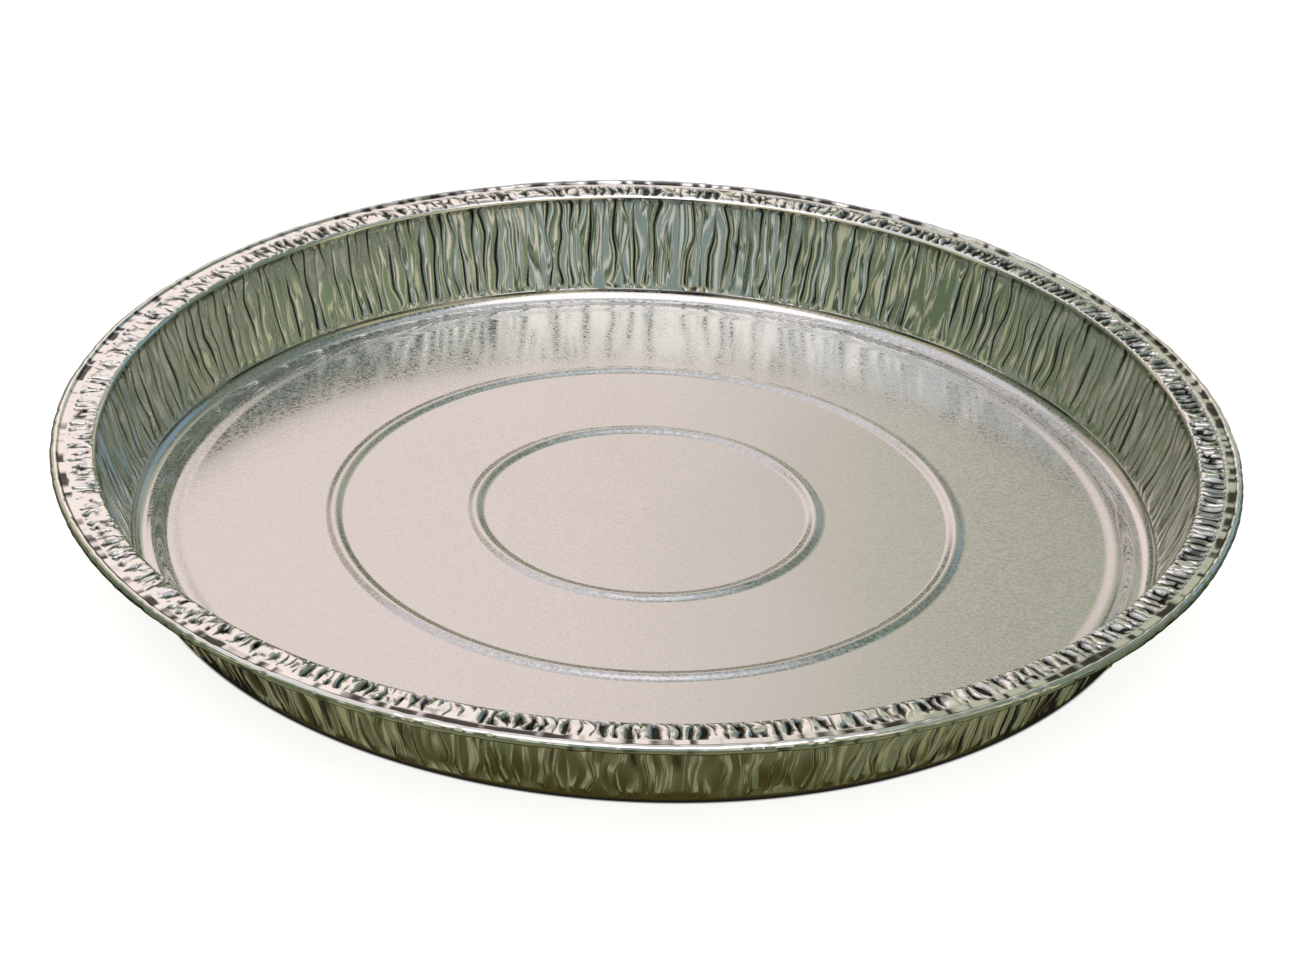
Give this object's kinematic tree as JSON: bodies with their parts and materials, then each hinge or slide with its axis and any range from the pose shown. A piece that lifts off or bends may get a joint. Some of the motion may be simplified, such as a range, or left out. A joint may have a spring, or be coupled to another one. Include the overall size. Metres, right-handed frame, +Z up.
{
  "type": "foil pie tin",
  "caption": "Shallow round pie tin pressed from thin foil, with a ringed raised floor, gathered sloping wall, crimped flange and curled rim.",
  "frame": {"origin": "middle of the face that the tin rests on", "axes": "+Z up out of the open top, along the tin's axis"},
  "size_m": [0.25, 0.25, 0.024],
  "materials": {
    "foil": "bare rolled aluminium foil, satin on the floor and bright on the folds and crimps"
  },
  "bodies": {
    "root": {"pie_tin": "foil"}
  },
  "joints": []
}
